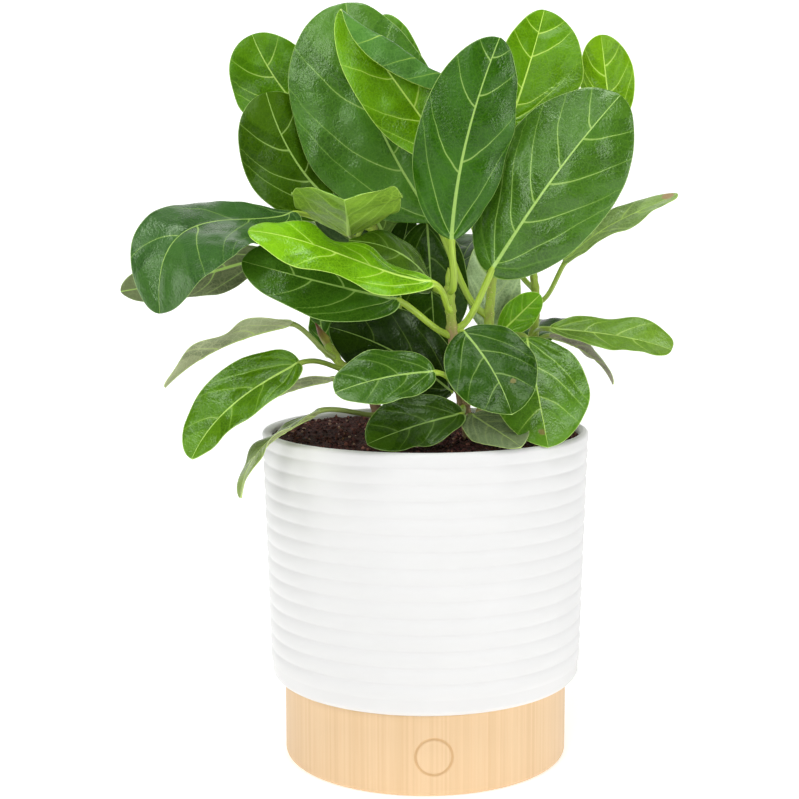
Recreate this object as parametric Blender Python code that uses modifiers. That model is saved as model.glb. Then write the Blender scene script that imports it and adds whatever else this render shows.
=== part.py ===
"""Potted bengal fig: a leafy young plant in a ribbed white pot on a low wooden base.

Metres, +Z up. The origin is the centre of the base's underside and -Y is the front.
"""
from math import cos, pi, radians, sin

import bmesh
import bpy
import numpy as np

# Pot
POT_RIM_RADIUS = 0.0800
POT_FOOT_RADIUS = 0.0764
POT_TOP = 0.1624
POT_WALL = 0.0045
POT_FLOOR = 0.0060
RIB_COUNT = 15
RIB_PITCH = 0.0077
RIB_FIRST = 0.1556
RIB_DEPTH = 0.0007
CORNER_RADIUS = 0.0055
LIP_RADIUS = 0.0020
TURN_STEPS = 40

# Base
BASE_RADIUS = 0.0699
BASE_TOP = 0.0394
BASE_EDGE = 0.0030
SEAT_RADIUS = 0.0600
SEAT_DEPTH = 0.0040
MEDAL_RADIUS = 0.0086
MEDAL_LINE = 0.0010
MEDAL_DEPTH = 0.0005
MEDAL_HEIGHT = 0.0194
MEDAL_X = 0.0040

# Soil
SOIL_EDGE = 0.1592
SOIL_CROWN = 0.0012
POCKET_BOTTOM = 0.1400

GAP = 0.0003

# Leaf solids
BLADE_THICKNESS = 0.0011
EDGE_THICKNESS = 0.0005
BLADE_ROWS = 10
STALK_ROWS = 5

# Each stem: points from the soil upward, then its radius at the bottom and at the top
STEMS = {
    "stem_middle": ([(.021, -.020, .162), (.017, -.025, .183), (.014, -.028, .204),
                     (.012, -.030, .220), (.011, -.032, .235)], .0031, .0021),
    "stem_right": ([(.025, -.008, .162), (.029, -.008, .179), (.031, -.004, .196),
                    (.031, .000, .216), (.033, .002, .239), (.036, .008, .274),
                    (.039, .012, .294)], .0030, .0017),
    "stem_back": ([(-.001, .022, .162), (-.003, .028, .178), (-.001, .034, .208),
                   (.002, .038, .238), (.004, .040, .268)], .0026, .0016),
    "stem_left": ([(-.020, -.020, .162), (-.025, -.022, .179), (-.033, -.024, .189),
                   (-.041, -.022, .197), (-.047, -.018, .206)], .0027, .0018),
    "stem_inner": ([(-.014, .004, .162), (-.011, .006, .176), (-.010, .010, .195),
                    (-.013, .014, .214), (-.016, .018, .237), (-.024, .020, .256),
                    (-.032, .022, .272)], .0028, .0016),
    "stem_outer": ([(.040, .016, .162), (.047, .020, .175), (.053, .024, .198),
                    (.056, .028, .220), (.055, .032, .240), (.060, .036, .262),
                    (.070, .038, .285)], .0026, .0014),
}

LEAF_DEFAULTS = dict(
    width=0.6, sides=(1, 1), belly=0.95, roundness=0.50, face=(0, -1, .3), rise=(0, 0), lean=(0, 0),
    cup=(8, 8), curl=(0, 0), lobe=0.03, fold=None, stalk=0.0012, tone="mature")


def leaf(stem, height, base, tip, **shape):
    """A leaf on a stem: where its stalk leaves the stem, the blade's two ends, and its shape.

    width is the blade's width over its length, sides scales its left and right halves, belly moves
    the widest place and roundness blunts the ends. face is the way the upper side looks, and rise
    and lean bend the midrib out of and along the blade, as shares of its length. cup and curl tilt
    and roll the left and right halves, in degrees. lobe draws the base back round the stalk, fold
    turns the tip over a crease, and stalk is the stalk's radius.
    """
    return {**LEAF_DEFAULTS, "stem": stem, "height": height, "base": base, "tip": tip, **shape}


LEAVES = {
    "leaf_front_tall": leaf(
        "stem_middle", .233, (.012, -.040, .256), (.033, -.054, .345), width=.50, sides=(1, .92),
        belly=.98, face=(.05, -1, .2), lean=(.06, .05), cup=(-4, -4), curl=(0, -26), lobe=0,
        stalk=.0017),
    "leaf_right_big": leaf(
        "stem_middle", .214, (.032, -.034, .243), (.085, -.050, .321), width=.66, sides=(1, .96),
        belly=.98, face=(-.1, -1, .3), lean=(.02, .02), cup=(-4, -4), curl=(-10, -18), lobe=.05,
        stalk=.0016),
    "leaf_top_bright": leaf(
        "stem_right", .288, (.041, .006, .311), (.058, .018, .366), width=.86, sides=(.58, 1.05),
        face=(0, -1, .25), lean=(-.02, -.02), lobe=.04, tone="bright"),
    "leaf_top_right": leaf(
        "stem_outer", .282, (.094, .034, .311), (.088, .040, .356), width=.66, sides=(1.1, .95),
        face=(-.1, -1, .1), lean=(.02, 0), cup=(20, 8), curl=(30, 0), tone="bright"),
    "leaf_top_left_big": leaf(
        "stem_right", .219, (.005, .012, .263), (-.038, .002, .367), width=.62, sides=(1, .95),
        belly=1.12, face=(-.1, -1, .25), lean=(.08, .10), cup=(4, 4), curl=(-18, -18), lobe=-.04,
        stalk=.0016),
    "leaf_young_folded": leaf(
        "stem_right", .243, (.012, -.012, .293), (-.039, -.012, .363), width=.55, sides=(1, .95),
        face=(-.1, -1, .3), cup=(5, 5), lobe=0, fold=(.84, 22, 165, .0035), tone="bright"),
    "leaf_upper_left": leaf(
        "stem_inner", .268, (-.058, .042, .313), (-.087, .040, .356), width=.84, sides=(1.05, .9),
        face=(-.1, -1, .2), lean=(.06, .08), roundness=.44, tone="mid"),
    "leaf_left_dark": leaf(
        "stem_inner", .260, (-.044, .010, .271), (-.077, .006, .325), width=.84, sides=(.9, 1),
        face=(-.1, -1, .2), lean=(.12, .10), roundness=.44),
    "leaf_far_left": leaf(
        "stem_inner", .250, (-.064, -.010, .267), (-.121, -.060, .223), width=.54, belly=1.25,
        sides=(1.45, .78), face=(-.35, -.70, .58), rise=(.08, .50), lean=(-.02, -.24)),
    "leaf_left_under": leaf(
        "stem_inner", .236, (-.082, .030, .246), (-.154, .030, .229), width=.40,
        face=(-.1, .9, .5), lean=(-.04, -.04)),
    "leaf_left_low": leaf(
        "stem_middle", .212, (-.014, -.040, .228), (-.083, -.050, .247), width=.56,
        sides=(.95, 1.0), face=(-.05, -.85, .5), lean=(.02, .02), lobe=.04, stalk=.0015),
    "leaf_young_left": leaf(
        "stem_middle", .224, (.002, -.060, .237), (-.077, -.078, .258), width=.34, belly=1.2,
        roundness=.42, face=(.1, -.42, .88), rise=(-.04, .10), cup=(-10, 6), curl=(-30, 0),
        stalk=.0014,
        tone="bright"),
    "leaf_centre_keeled": leaf(
        "stem_inner", .248, (-.036, -.020, .257), (-.035, -.080, .273), width=.88,
        roundness=.36, face=(0, .22, 1), cup=(27, 27), tone="mid"),
    "leaf_centre_arched": leaf(
        "stem_middle", .229, (.003, -.020, .233), (-.035, -.042, .256), width=.50,
        face=(0, -.75, .65), rise=(.20, .26), cup=(0, 0), curl=(-30, -30)),
    "leaf_left_inner": leaf(
        "stem_inner", .262, (-.037, .020, .272), (-.052, .022, .309), width=.60,
        face=(.3, -1, .2)),
    "leaf_left_thin": leaf(
        "stem_left", .200, (-.064, -.030, .216), (-.121, -.050, .190), width=.40,
        face=(-.1, .30, 1), rise=(.08, .10), cup=(18, 18), tone="mid"),
    "leaf_left_drooping": leaf(
        "stem_left", .194, (-.058, -.060, .200), (-.103, -.085, .162), width=.48, belly=.74,
        sides=(.8, 1.1), face=(-.3, -.8, .5), lean=(-.10, -.16), tone="mid"),
    "leaf_left_narrow": leaf(
        "stem_left", .187, (-.044, -.038, .191), (-.094, -.047, .171), width=.38,
        face=(-.1, .26, 1), rise=(.08, .08), tone="mid"),
    "leaf_over_rim": leaf(
        "stem_left", .173, (-.050, -.050, .177), (-.083, -.085, .144), width=.26,
        face=(-.5, -.1, .8), rise=(.10, .22), tone="mid"),
    "leaf_centre_low": leaf(
        "stem_middle", .185, (.003, -.065, .197), (-.039, -.085, .191), width=.60,
        face=(0, -.8, .6), lean=(-.06, -.05), roundness=.42),
    "leaf_front_low": leaf(
        "stem_middle", .177, (.015, -.046, .175), (-.026, -.064, .165), width=.68,
        sides=(.85, 1.1), face=(-.2, -.75, .6), lean=(-.03, -.03), lobe=.08),
    "leaf_front_pale": leaf(
        "stem_middle", .170, (.026, -.040, .173), (.042, -.064, .165), width=.58,
        face=(.2, -.7, .7), tone="pale"),
    "leaf_right_low": leaf(
        "stem_middle", .206, (.018, -.045, .213), (.038, -.080, .181), width=.86,
        sides=(.9, .95), face=(-.1, -.75, .65), lean=(.06, .06)),
    "leaf_right_rim": leaf(
        "stem_right", .204, (.048, -.025, .208), (.056, -.060, .163), width=.84,
        face=(.1, -.8, .6), tone="mid"),
    "leaf_right_long": leaf(
        "stem_outer", .207, (.062, .000, .211), (.119, -.010, .203), width=.44, belly=1.35,
        roundness=.40, face=(0, -.5, .85), lean=(.04, .08), cup=(20, 5), tone="mid"),
    "leaf_right_under": leaf(
        "stem_outer", .204, (.063, .020, .206), (.094, .005, .184), width=.50,
        face=(.3, .30, .9), rise=(.14, .16), tone="pale"),
    "leaf_right_behind": leaf(
        "stem_outer", .223, (.071, .030, .243), (.126, .030, .278), width=.40,
        face=(-.5, -.48, .7), rise=(.12, .02), tone="mid"),
    "leaf_centre_pale": leaf(
        "stem_right", .208, (.034, .020, .210), (.034, .026, .255), width=.54,
        face=(0, -1, .1), tone="pale"),
    "leaf_small_bright": leaf(
        "stem_outer", .198, (.038, .018, .208), (.057, .016, .227), width=.62, tone="bright"),
    "leaf_centre_dark": leaf(
        "stem_inner", .187, (.010, .000, .190), (-.046, -.008, .213), width=.62,
        face=(-.1, -.9, .4), lean=(-.08, -.08)),
    "leaf_left_small": leaf(
        "stem_left", .203, (-.049, .004, .200), (-.053, .006, .222), width=.56,
        face=(0, -1, .1)),
    "leaf_behind_middle": leaf(
        "stem_back", .252, (.006, .024, .248), (.005, .010, .200), width=.60,
        face=(-.1, -.9, .3), tone="mid"),
    "leaf_top_behind": leaf(
        "stem_back", .264, (-.007, .050, .319), (-.021, .050, .367), width=.50,
        face=(0, -1, .2), tone="mid"),
    "leaf_back_left": leaf(
        "stem_back", .236, (-.022, .052, .256), (-.056, .080, .328), width=.62,
        face=(-.25, .95, .25), stalk=.0014),
    "leaf_back_middle": leaf(
        "stem_back", .245, (.010, .060, .258), (.022, .084, .340), width=.60,
        face=(.1, 1, .3), stalk=.0014),
    "leaf_back_right": leaf(
        "stem_outer", .230, (.046, .056, .246), (.066, .082, .322), width=.60,
        face=(.2, 1, .3), stalk=.0014),
    "leaf_back_low_left": leaf(
        "stem_back", .200, (-.008, .055, .198), (-.052, .095, .219), width=.60,
        face=(-.3, .3, .9), rise=(.10, .10)),
    "leaf_back_low_right": leaf(
        "stem_outer", .192, (.056, .048, .198), (.066, .104, .208), width=.58,
        face=(.1, .3, .9), rise=(.12, .12)),
    "leaf_back_out": leaf(
        "stem_back", .223, (.014, .060, .224), (.034, .124, .256), width=.62,
        face=(.1, .5, .8), rise=(.12, .14)),
    "leaf_back_low": leaf(
        "stem_back", .181, (-.001, .050, .176), (.008, .118, .170), width=.60,
        face=(0, .4, .9), rise=(.10, .10), tone="mid"),
    "leaf_back_far_left": leaf(
        "stem_inner", .240, (-.040, .046, .250), (-.088, .084, .264), width=.56,
        face=(-.3, .4, .85), rise=(.12, .14)),
    "leaf_back_far_right": leaf(
        "stem_outer", .250, (.080, .048, .262), (.100, .080, .306), width=.64,
        face=(.7, .5, .3), tone="mid"),
    "leaf_back_left_low": leaf(
        "stem_inner", .205, (-.036, .040, .222), (-.074, .086, .236), width=.58,
        face=(-.3, .5, .8), rise=(.10, .12)),
    "leaf_back_mid_low": leaf(
        "stem_back", .192, (.014, .052, .200), (.036, .104, .188), width=.60,
        face=(.2, .6, .7), rise=(.08, .10), tone="mid"),
    "leaf_inner_dark": leaf(
        "stem_inner", .216, (-.018, .029, .222), (-.008, .033, .266), width=.42,
        face=(0, -1, .2)),
}

LEAF_COLOURS = {
    "mature": (.045, .125, .030, 1),
    "mid": (.085, .200, .040, 1),
    "bright": (.180, .380, .030, 1),
    "pale": (.210, .300, .120, 1),
}


def clear_scene():
    for thing in list(bpy.data.objects):
        bpy.data.objects.remove(thing, do_unlink=True)


def collection(name):
    made = bpy.data.collections.new(name)
    bpy.context.scene.collection.children.link(made)
    return made


def principled(name, colour, roughness):
    made = bpy.data.materials.new(name)
    made.use_nodes = True
    shader = made.node_tree.nodes["Principled BSDF"]
    shader.inputs["Base Color"].default_value = colour
    shader.inputs["Roughness"].default_value = roughness
    shader.inputs["Metallic"].default_value = 0.0
    return made


def place(name, data, group, material=None):
    made = bpy.data.objects.new(name, data)
    group.objects.link(made)
    if material:
        data.materials.append(material)
    return made


def turned(name, profile, group, material=None, steps=TURN_STEPS):
    """A solid of revolution about Z: the profile runs down its outer side."""
    mesh = bpy.data.meshes.new(name)
    edges = [(i, i + 1) for i in range(len(profile) - 1)]
    mesh.from_pydata([(r, 0, z) for r, z in profile], edges, [])
    made = place(name, mesh, group, material)
    screw = made.modifiers.new("Turn", "SCREW")
    screw.steps = steps
    screw.render_steps = steps
    screw.use_merge_vertices = True
    screw.merge_threshold = 0.00001
    screw.use_smooth_shade = True
    return made


def make_cutter(made):
    made.hide_render = True
    made.display_type = "WIRE"


def cut(made, cutter):
    boolean = made.modifiers.new("Cut " + cutter.name, "BOOLEAN")
    boolean.operation = "DIFFERENCE"
    boolean.solver = "EXACT"
    boolean.object = cutter


def arc(centre, radius, start, end, steps):
    """Points of a round corner, by angle in degrees from +r towards +z."""
    angles = [radians(start + (end - start)*i/steps) for i in range(steps + 1)]
    return [(centre[0] + radius*cos(a), centre[1] + radius*sin(a)) for a in angles]


# Pot, base and soil

def pot_radius(height):
    """Outer radius of the pot's straight, slightly flared side."""
    share = (height - BASE_TOP)/(POT_TOP - BASE_TOP)
    return POT_FOOT_RADIUS + share*(POT_RIM_RADIUS - POT_FOOT_RADIUS)


def white_pot(group, material):
    inner = POT_RIM_RADIUS - POT_WALL
    floor = BASE_TOP + POT_FLOOR
    profile = [(0, floor), (inner - CORNER_RADIUS, floor)]
    profile += arc((inner - CORNER_RADIUS, floor + CORNER_RADIUS), CORNER_RADIUS, -60, 0, 2)
    lip = (inner + POT_RIM_RADIUS)/2
    profile += arc((inner + LIP_RADIUS, POT_TOP - LIP_RADIUS), LIP_RADIUS, 180, 90, 2)
    profile += arc((POT_RIM_RADIUS - LIP_RADIUS, POT_TOP - LIP_RADIUS), LIP_RADIUS, 90, 0, 3)
    for rib in range(RIB_COUNT):
        groove = RIB_FIRST - rib*RIB_PITCH
        crest = groove - RIB_PITCH/2
        profile.append((pot_radius(groove) - RIB_DEPTH, groove))
        if rib < RIB_COUNT - 1:
            profile.append((pot_radius(crest), crest))
    corner = (POT_FOOT_RADIUS - CORNER_RADIUS, BASE_TOP + GAP + CORNER_RADIUS)
    profile += arc(corner, CORNER_RADIUS, -30, -90, 2)
    profile += [(SEAT_RADIUS - GAP, BASE_TOP + GAP), (SEAT_RADIUS - GAP, BASE_TOP - SEAT_DEPTH + GAP),
                (0, BASE_TOP - SEAT_DEPTH + GAP)]
    return turned("white_pot", profile, group, material)


def wood_base(group, cutters, material):
    profile = [(0, BASE_TOP - SEAT_DEPTH), (SEAT_RADIUS, BASE_TOP - SEAT_DEPTH),
               (SEAT_RADIUS, BASE_TOP)]
    profile += arc((BASE_RADIUS - .001, BASE_TOP - .001), .001, 90, 0, 1)
    profile += arc((BASE_RADIUS - BASE_EDGE, BASE_EDGE), BASE_EDGE, 0, -90, 3)
    profile.append((0, 0))
    base = turned("wood_base", profile, group, material)
    cut(base, medal_cutter(cutters))
    return base


def medal_cutter(cutters):
    """A plain engraved ring on the front, cut to an even depth round the curved side."""
    core = turned("medal_core", [(0, BASE_TOP), (BASE_RADIUS - MEDAL_DEPTH, BASE_TOP),
                                 (BASE_RADIUS - MEDAL_DEPTH, 0), (0, 0)], cutters)
    make_cutter(core)
    outer = MEDAL_RADIUS + MEDAL_LINE/2
    inner = MEDAL_RADIUS - MEDAL_LINE/2
    reach = 0.012
    ring = turned("medal_ring", [(inner, reach), (outer, reach), (outer, -reach), (inner, -reach),
                                 (inner, reach)], cutters, steps=32)
    ring.rotation_euler = (pi/2, 0, 0)
    ring.location = (MEDAL_X, -BASE_RADIUS, MEDAL_HEIGHT)
    make_cutter(ring)
    cut(ring, core)
    return ring


def potting_soil(group, cutters, material):
    radius = POT_RIM_RADIUS - POT_WALL - GAP
    floor = BASE_TOP + POT_FLOOR + GAP
    profile = [(0, SOIL_EDGE + SOIL_CROWN), (radius*.6, SOIL_EDGE + SOIL_CROWN*.7), (radius, SOIL_EDGE)]
    corner = (radius - CORNER_RADIUS, floor + CORNER_RADIUS)
    profile += arc(corner, CORNER_RADIUS, 0, -90, 3)
    profile.append((0, floor))
    soil = turned("potting_soil", profile, group, material)
    for name, (points, bottom, _) in STEMS.items():
        x, y, _ = points[0]
        depth = POT_TOP - POCKET_BOTTOM
        pocket = turned("pocket_" + name, [(0, depth), (bottom + GAP, depth), (bottom + GAP, 0), (0, 0)],
                        cutters, steps=12)
        pocket.location = (x, y, POCKET_BOTTOM)
        make_cutter(pocket)
        cut(soil, pocket)
    return soil


# Stems

def smooth_route(points, between=2):
    """A smooth curve through every point, as a list of closer points."""
    points = [np.array(p, float) for p in points]
    ends = [2*points[0] - points[1]] + points + [2*points[-1] - points[-2]]
    route = []
    for a, b, c, d in zip(ends, ends[1:], ends[2:], ends[3:]):
        for t in np.arange(between)/between:
            route.append(0.5*(2*b + (c - a)*t + (2*a - 5*b + 4*c - d)*t**2
                              + (3*b - a - 3*c + d)*t**3))
    route.append(points[-1])
    return np.array(route)


def stem_route(name):
    """The stem's centre line above the soil and its radius at each point."""
    points, bottom, top = STEMS[name]
    route = smooth_route(points)
    return route, np.linspace(bottom, top, len(route))


def stem_at(name, height):
    """The stem's centre, direction and radius at a height."""
    route, radii = stem_route(name)
    centre = [np.interp(height, route[:, 2], route[:, axis]) for axis in range(3)]
    ways = np.gradient(route, axis=0)
    way = [np.interp(height, route[:, 2], ways[:, axis]) for axis in range(3)]
    return np.array(centre), unit(way), np.interp(height, route[:, 2], radii)


def tube(name, route, radii, group, material):
    curve = bpy.data.curves.new(name, "CURVE")
    curve.dimensions = "3D"
    curve.bevel_depth = 1.0
    curve.bevel_resolution = 2
    curve.use_fill_caps = True
    spline = curve.splines.new("POLY")
    spline.points.add(len(route) - 1)
    for point, place_at, radius in zip(spline.points, route, radii):
        point.co = (*place_at, 1)
        point.radius = radius
    return place(name, curve, group, material)


def stem(name, group, material):
    route, radii = stem_route(name)
    rooted = np.vstack([[*route[0][:2], POCKET_BOTTOM + GAP], route])
    return tube(name, rooted, [radii[0], *radii], group, material)


def bud(name, stem_name, lengths, radii, group, material):
    """A closed bud carrying on from the end of a stem."""
    end, way, _ = stem_at(stem_name, STEMS[stem_name][0][-1][2])
    return tube(name, [end + way*(GAP + length) for length in lengths], radii, group, material)


# Leaves

def unit(vector):
    vector = np.asarray(vector, float)
    return vector/np.linalg.norm(vector)


def bezier(points, t):
    a, b, c, d = [np.asarray(p, float) for p in points]
    t = np.asarray(t, float)[:, None]
    return (1 - t)**3*a + 3*(1 - t)**2*t*b + 3*(1 - t)*t*t*c + t**3*d


def carried(normal, tangents):
    """The normal carried along the tangents without spin."""
    out = []
    for tangent in tangents:
        normal = unit(normal - tangent*(normal @ tangent))
        out.append(normal)
    return np.array(out)


def midrib(leaf, count=61):
    """The midrib's points, tangents, upward normals and left-hand vectors, and its length."""
    base, tip = np.array(leaf["base"]), np.array(leaf["tip"])
    chord = tip - base
    length = np.linalg.norm(chord)
    along = chord/length
    face = np.array(leaf["face"], float)
    face = unit(face - along*(face @ along))
    left = np.cross(face, along)
    bends = [length*(face*rise + left*lean) for rise, lean in zip(leaf["rise"], leaf["lean"])]
    points = bezier([base, base + chord/3 + bends[0], base + chord*2/3 + bends[1], tip],
                    np.linspace(0, 1, count))
    steps = np.gradient(points, axis=0)
    tangents = steps/np.linalg.norm(steps, axis=1)[:, None]
    middle = count//2
    up = np.empty_like(points)
    up[middle:] = carried(face, tangents[middle:])
    up[:middle + 1] = carried(face, tangents[middle::-1])[::-1]
    length = np.linalg.norm(np.diff(points, axis=0), axis=1).sum()
    return points, tangents, up, np.cross(up, tangents), length


def folded(along, across, lift, fold, length):
    """The flat blade turned up and over past a crease: (place on midrib, angle, turn, radius)."""
    at, angle, turn, radius = fold
    out = (sin(radians(angle)), -cos(radians(angle)))
    turn = radians(turn)
    past = (along - at*length)*out[0] + across*out[1]
    bent = np.clip(past/radius, 0, turn)
    straight = np.maximum(past - radius*turn, 0)
    reach = np.where(past > 0, radius*np.sin(bent) + straight*cos(turn), past)
    height = np.where(past > 0, radius*(1 - np.cos(bent)) + straight*sin(turn), 0)
    lift = lift*np.where(past > 0, np.cos(bent), 1) + height
    return along + (reach - past)*out[0], across + (reach - past)*out[1], lift


def blade(leaf, s, t):
    """Middle surface of the blade at fractions s of its length and t (-1 left, 1 right) of its width."""
    points, tangents, up, left, length = midrib(leaf)
    s, t = np.meshgrid(s, t, indexing="ij")
    half = leaf["width"]*length/2*np.sin(pi*s**leaf["belly"]).clip(0)**leaf["roundness"]
    half = np.maximum(half, leaf["stalk"])
    on_left = t < 0
    out = abs(t)
    half = half*np.where(on_left, *leaf["sides"])
    cup = np.radians(np.where(on_left, *leaf["cup"]))
    curl = np.radians(np.where(on_left, *leaf["curl"])) + 1e-5
    across = half*(np.sin(cup + curl*out) - np.sin(cup))/curl*np.where(on_left, 1, -1)
    lift = half*(np.cos(cup) - np.cos(cup + curl*out))/curl
    along = length*(s - leaf["lobe"]*out**2*(1 - s)**4)
    if leaf["fold"]:
        along, across, lift = folded(along, across, lift, leaf["fold"], length)
    share = np.clip(along/length, 0, 1)

    def at(values):
        known = np.linspace(0, 1, len(values))
        return np.stack([np.interp(share, known, values[:, axis]) for axis in range(3)], -1)

    beyond = (along - share*length)[..., None]
    return (at(points) + at(tangents)*beyond + at(left)*across[..., None] + at(up)*lift[..., None])


def grid_normals(grid):
    """Upward normals of a blade's grid of points."""
    normals = np.cross(np.gradient(grid, axis=1), np.gradient(grid, axis=0))
    return normals/np.maximum(np.linalg.norm(normals, axis=-1), 1e-12)[..., None]


def stalk_route(leaf, count):
    """The stalk's centre line from the stem's side to the blade, and its tangents."""
    start, way, radius = stem_at(leaf["stem"], leaf["height"])
    end = np.array(leaf["base"])
    _, tangents, _, _, _ = midrib(leaf)
    outward = end - start
    distance = np.linalg.norm(outward)
    outward = unit(outward - way*(outward @ way))
    leave = unit(outward + way*.45)
    start = start + outward*(radius + GAP + leaf["stalk"]*.5)
    points = bezier([start, start + leave*distance*.22, end - tangents[0]*distance*.22, end],
                    np.linspace(0, 1, count))
    steps = np.gradient(points, axis=0)
    return points, steps/np.linalg.norm(steps, axis=1)[:, None]


def leaf_rings(leaf):
    """Rings of eight points from the stalk's foot to the blade's tip."""
    s = (1 - np.cos(pi*np.linspace(0, 1, BLADE_ROWS)))/2
    t = np.array([-1, -.5, 0, .5, 1])
    grid = blade(leaf, s, t)
    normals = grid_normals(grid)
    stalk = leaf["stalk"]
    near_stalk = np.clip(1 - s/.25, 0, 1)**2
    rib = BLADE_THICKNESS + (2*stalk - BLADE_THICKNESS)*near_stalk
    thickness = np.stack([np.full_like(s, EDGE_THICKNESS), rib*.8, rib, rib*.8,
                          np.full_like(s, EDGE_THICKNESS)], -1)[..., None]
    upper = grid + normals*thickness/2
    lower = grid - normals*thickness/2
    blade_rings = [[*upper[row], *lower[row, 3:0:-1]] for row in range(BLADE_ROWS)]

    points, tangents = stalk_route(leaf, STALK_ROWS)
    _, _, up, _, _ = midrib(leaf)
    ups = carried(up[0], tangents[::-1])[::-1]
    angles = np.radians([180, 135, 90, 45, 0, -45, -90, -135])
    stalk_rings = []
    for point, tangent, above in zip(points[:-1], tangents, ups):
        right = np.cross(tangent, above)
        stalk_rings.append([point + stalk*(right*cos(a) + above*sin(a)) for a in angles])
    return stalk_rings + blade_rings


def leaf_solid(name, leaf, group, material):
    """One closed solid, lofted from the round stalk into the thin blade."""
    rings = leaf_rings(leaf)
    shape = bmesh.new()
    loops = [[shape.verts.new(point) for point in ring] for ring in rings]
    count = len(loops[0])
    for ring, following in zip(loops, loops[1:]):
        for i in range(count):
            j = (i + 1) % count
            shape.faces.new((ring[i], ring[j], following[j], following[i]))
    shape.faces.new(loops[0])
    shape.faces.new(loops[-1])
    bmesh.ops.triangulate(shape, faces=shape.faces)
    bmesh.ops.recalc_face_normals(shape, faces=shape.faces)
    mesh = bpy.data.meshes.new(name)
    shape.to_mesh(mesh)
    shape.free()
    mesh.shade_smooth()
    return place(name, mesh, group, material)


def main():
    clear_scene()
    group = collection("potted_bengal_fig")
    cutters = collection("cutters")
    cutters.hide_render = True

    white_pot(group, principled("white_glaze", (.86, .86, .85, 1), .35))
    wood_base(group, cutters, principled("light_wood", (.78, .57, .33, 1), .55))
    potting_soil(group, cutters, principled("dark_soil", (.030, .012, .010, 1), .95))
    for name in STEMS:
        stem(name, group, principled(name + "_bark", (.26, .17, .09, 1), .75))
    bud("leaf_bud", "stem_left", (0, .003, .007, .012), (.0017, .0022, .0016, .0004), group,
        principled("bud_skin", (.35, .20, .06, 1), .55))
    bud("top_bud", "stem_middle", (0, .002, .005, .008), (.0017, .0018, .0012, .0004), group,
        principled("tip_skin", (.30, .45, .08, 1), .50))
    for name, shape in LEAVES.items():
        leaf_solid(name, shape, group, principled(name + "_skin", LEAF_COLOURS[shape["tone"]], .40))


main()
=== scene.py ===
"""The looks of the potted bengal fig: fine leaves, stems, soil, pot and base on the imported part.

Metres, +Z up. The origin is the centre of the base's underside and -Y is the front.
"""
from math import cos, pi, radians, sin
from types import SimpleNamespace

import bmesh
import bpy
import numpy as np
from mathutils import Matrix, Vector


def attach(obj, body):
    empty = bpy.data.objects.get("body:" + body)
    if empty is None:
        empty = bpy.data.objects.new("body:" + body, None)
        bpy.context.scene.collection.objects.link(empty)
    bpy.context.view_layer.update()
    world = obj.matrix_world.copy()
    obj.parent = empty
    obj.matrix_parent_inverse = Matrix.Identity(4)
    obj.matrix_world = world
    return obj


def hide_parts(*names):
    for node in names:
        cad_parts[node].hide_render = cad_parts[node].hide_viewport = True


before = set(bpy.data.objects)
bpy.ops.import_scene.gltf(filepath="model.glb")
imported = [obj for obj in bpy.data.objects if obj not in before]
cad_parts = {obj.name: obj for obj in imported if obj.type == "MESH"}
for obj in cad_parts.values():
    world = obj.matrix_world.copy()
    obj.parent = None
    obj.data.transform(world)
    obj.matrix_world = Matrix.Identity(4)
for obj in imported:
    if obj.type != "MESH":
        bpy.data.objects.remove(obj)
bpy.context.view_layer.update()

# Pot, base and soil, as in the solids
POT_RIM_RADIUS = .08
POT_FOOT_RADIUS = .0764
POT_TOP = .1624
POT_WALL = .0045
RIB_COUNT = 15
RIB_PITCH = .0077
RIB_FIRST = .1556
RIB_DEPTH = .0007
CORNER_RADIUS = .0055
LIP_RADIUS = .002
BASE_RADIUS = .0699
BASE_TOP = .0394
BASE_EDGE = .003
SEAT_RADIUS = .06
SEAT_DEPTH = .004
SOIL_EDGE = .1592
GAP = .0003

# The plain ring cut in the base's front, and how far out from its centre the mesh is fine
RING_RADIUS = .0086
RING_LINE = .0011
RING_DEPTH = .0005
RING_HEIGHT = .0194
RING_X = .004
RING_REACH = .0112

# Fine detail of base, pot and soil
RING_ROWS, RING_COLUMNS = 90, 97
BASE_COLUMNS = 160
POT_SEGMENTS = 184
RIB_STEPS = 12
GROOVE_POWER = 2.2
INNER_WALL = .012
SOIL_SEGMENTS = 240
SOIL_RINGS = 79
SOIL_DEPTH = .008
SOIL_CROWN = .001
SOIL_SINK = .0002
SOIL_RIPPLES = ((.021, .00045), (.009, .00035), (.0042, .00028), (.0022, .00018))
CRUMBS = 1500
CRUMB_SIZES = (.00035, .0011)

# Stems
STEM_SIDES = 28
STEM_ROOT = .006
FOOT_ROWS = 11
JOINT_SWELL = (.00042, .0016)
OLD_RING_SWELL = (.00022, .0007)

# Blades and stalks
BLADE_THICKNESS = .0006
EDGE_WOBBLE = .022
RIB_TIP_RADIUS = .00035
VEIN_WIDTH = .00024
MIDRIB_POINTS = 61
STALK_POINTS = 22
VEIN_REACH = .00075
VEIN_GROOVE = .00018
VEIN_RIDGE = .0002
QUILTING = .00022
UPPER, UNDER, STALK = range(3)

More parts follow.
